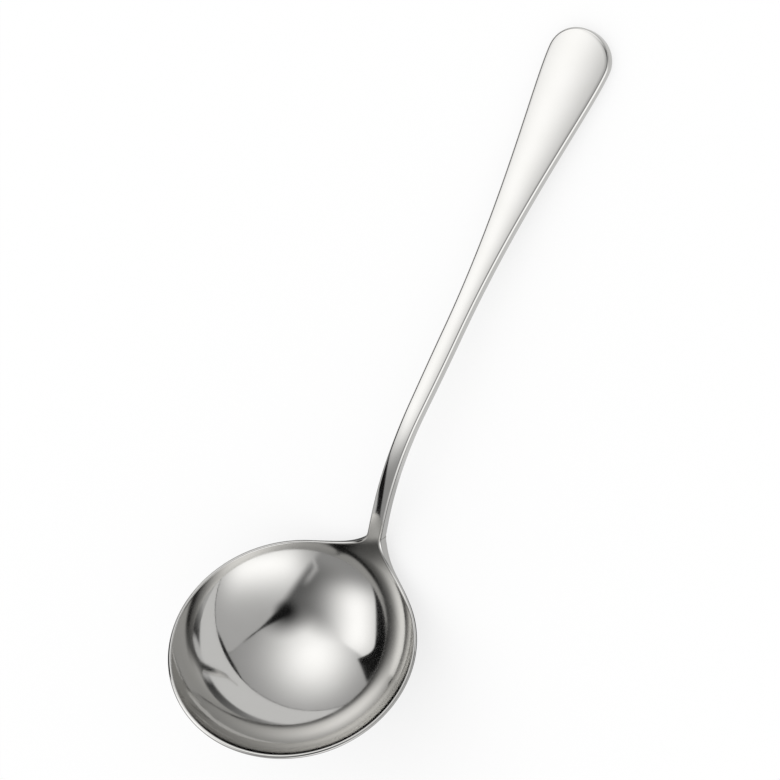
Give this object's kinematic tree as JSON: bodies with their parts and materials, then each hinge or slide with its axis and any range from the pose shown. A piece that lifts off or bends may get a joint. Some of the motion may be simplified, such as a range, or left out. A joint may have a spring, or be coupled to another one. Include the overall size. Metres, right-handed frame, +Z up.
{
  "type": "soup ladle",
  "caption": "Soup ladle in polished stainless steel: round deep bowl, swept neck and long flared handle, lying at rest on its round underside and the handle's tip.",
  "frame": {"origin": "on the table, under the middle of the ladle's length and width as it lies at rest", "axes": "+X along the ladle from the bowl to the tip of the handle, +Y across it, +Z up"},
  "size_m": [0.2733, 0.0896, 0.0663],
  "materials": {
    "polished_steel": "mirror polished stainless steel"
  },
  "bodies": {
    "root": {"bowl": "polished_steel", "handle": "polished_steel"}
  },
  "joints": []
}
